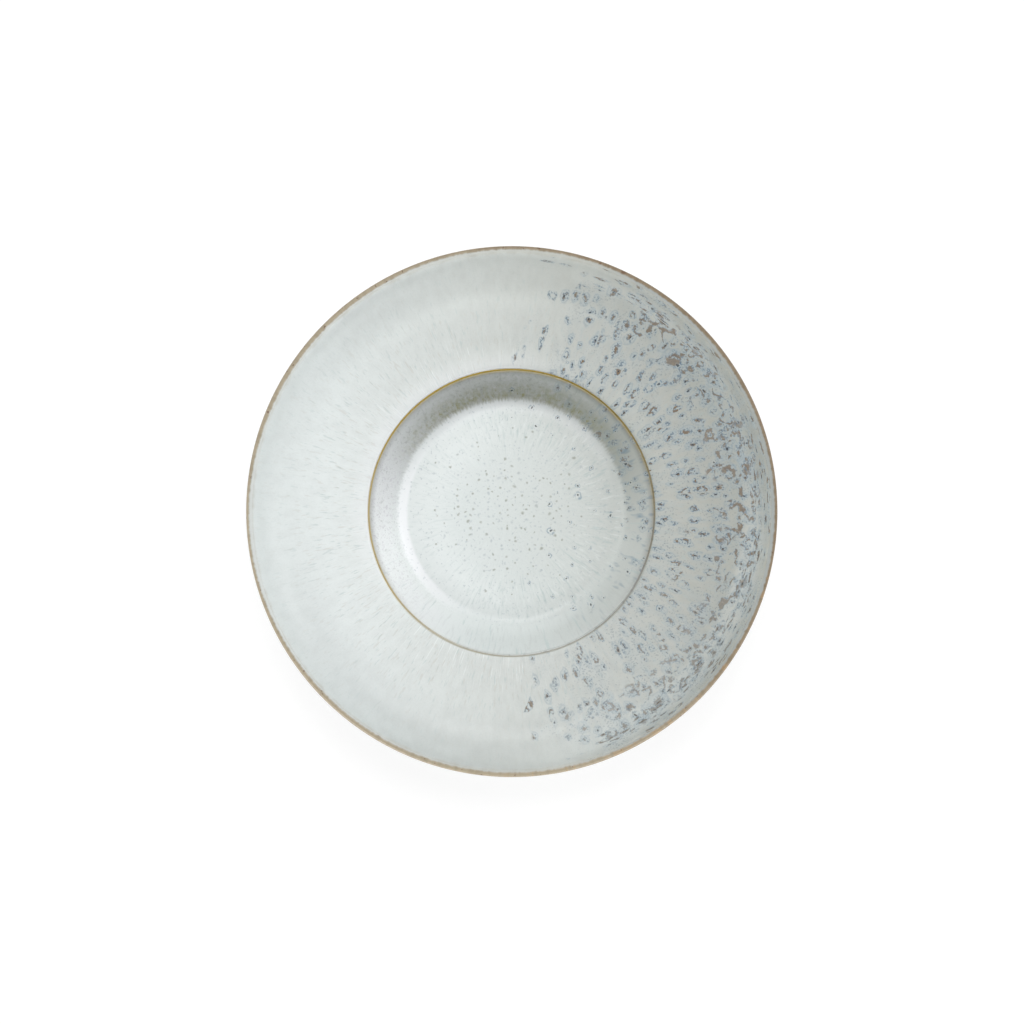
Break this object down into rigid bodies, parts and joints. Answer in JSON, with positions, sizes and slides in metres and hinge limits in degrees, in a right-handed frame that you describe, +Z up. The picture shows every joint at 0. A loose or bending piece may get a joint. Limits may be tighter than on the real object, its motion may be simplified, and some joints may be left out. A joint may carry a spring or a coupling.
{
  "type": "espresso saucer",
  "caption": "Round stoneware espresso saucer with a sunken cup well, an upturned rim and a bare foot ring, in a pale speckled glaze that breaks to tan and ochre at its edges.",
  "frame": {"origin": "on the table plane at the axis of the dish, under the middle of the foot ring", "axes": "+Z up along the axis of the dish, +X towards the speckled side of the glaze, +Y towards the top of the picture"},
  "size_m": [0.12, 0.12, 0.0226],
  "materials": {
    "bare_clay": "unglazed buff stoneware, fine grit, matt",
    "reactive_glaze": "satin pale grey-white reactive glaze with blue-grey and brown speckle on one side",
    "plain_glaze": "satin pale grey-white glaze with faint streaks",
    "tan_edge_glaze": "thin tan glaze over the clay, satin, with small iron spots",
    "ochre_edge_glaze": "thin ochre glaze over the clay, satin"
  },
  "bodies": {
    "root": {"stoneware_body": "bare_clay", "rim_glaze": "reactive_glaze", "well_glaze": "reactive_glaze", "underside_glaze": "plain_glaze", "foot_recess_glaze": "plain_glaze", "lip_glaze_film": "tan_edge_glaze", "well_edge_glaze_film": "ochre_edge_glaze"}
  },
  "joints": []
}
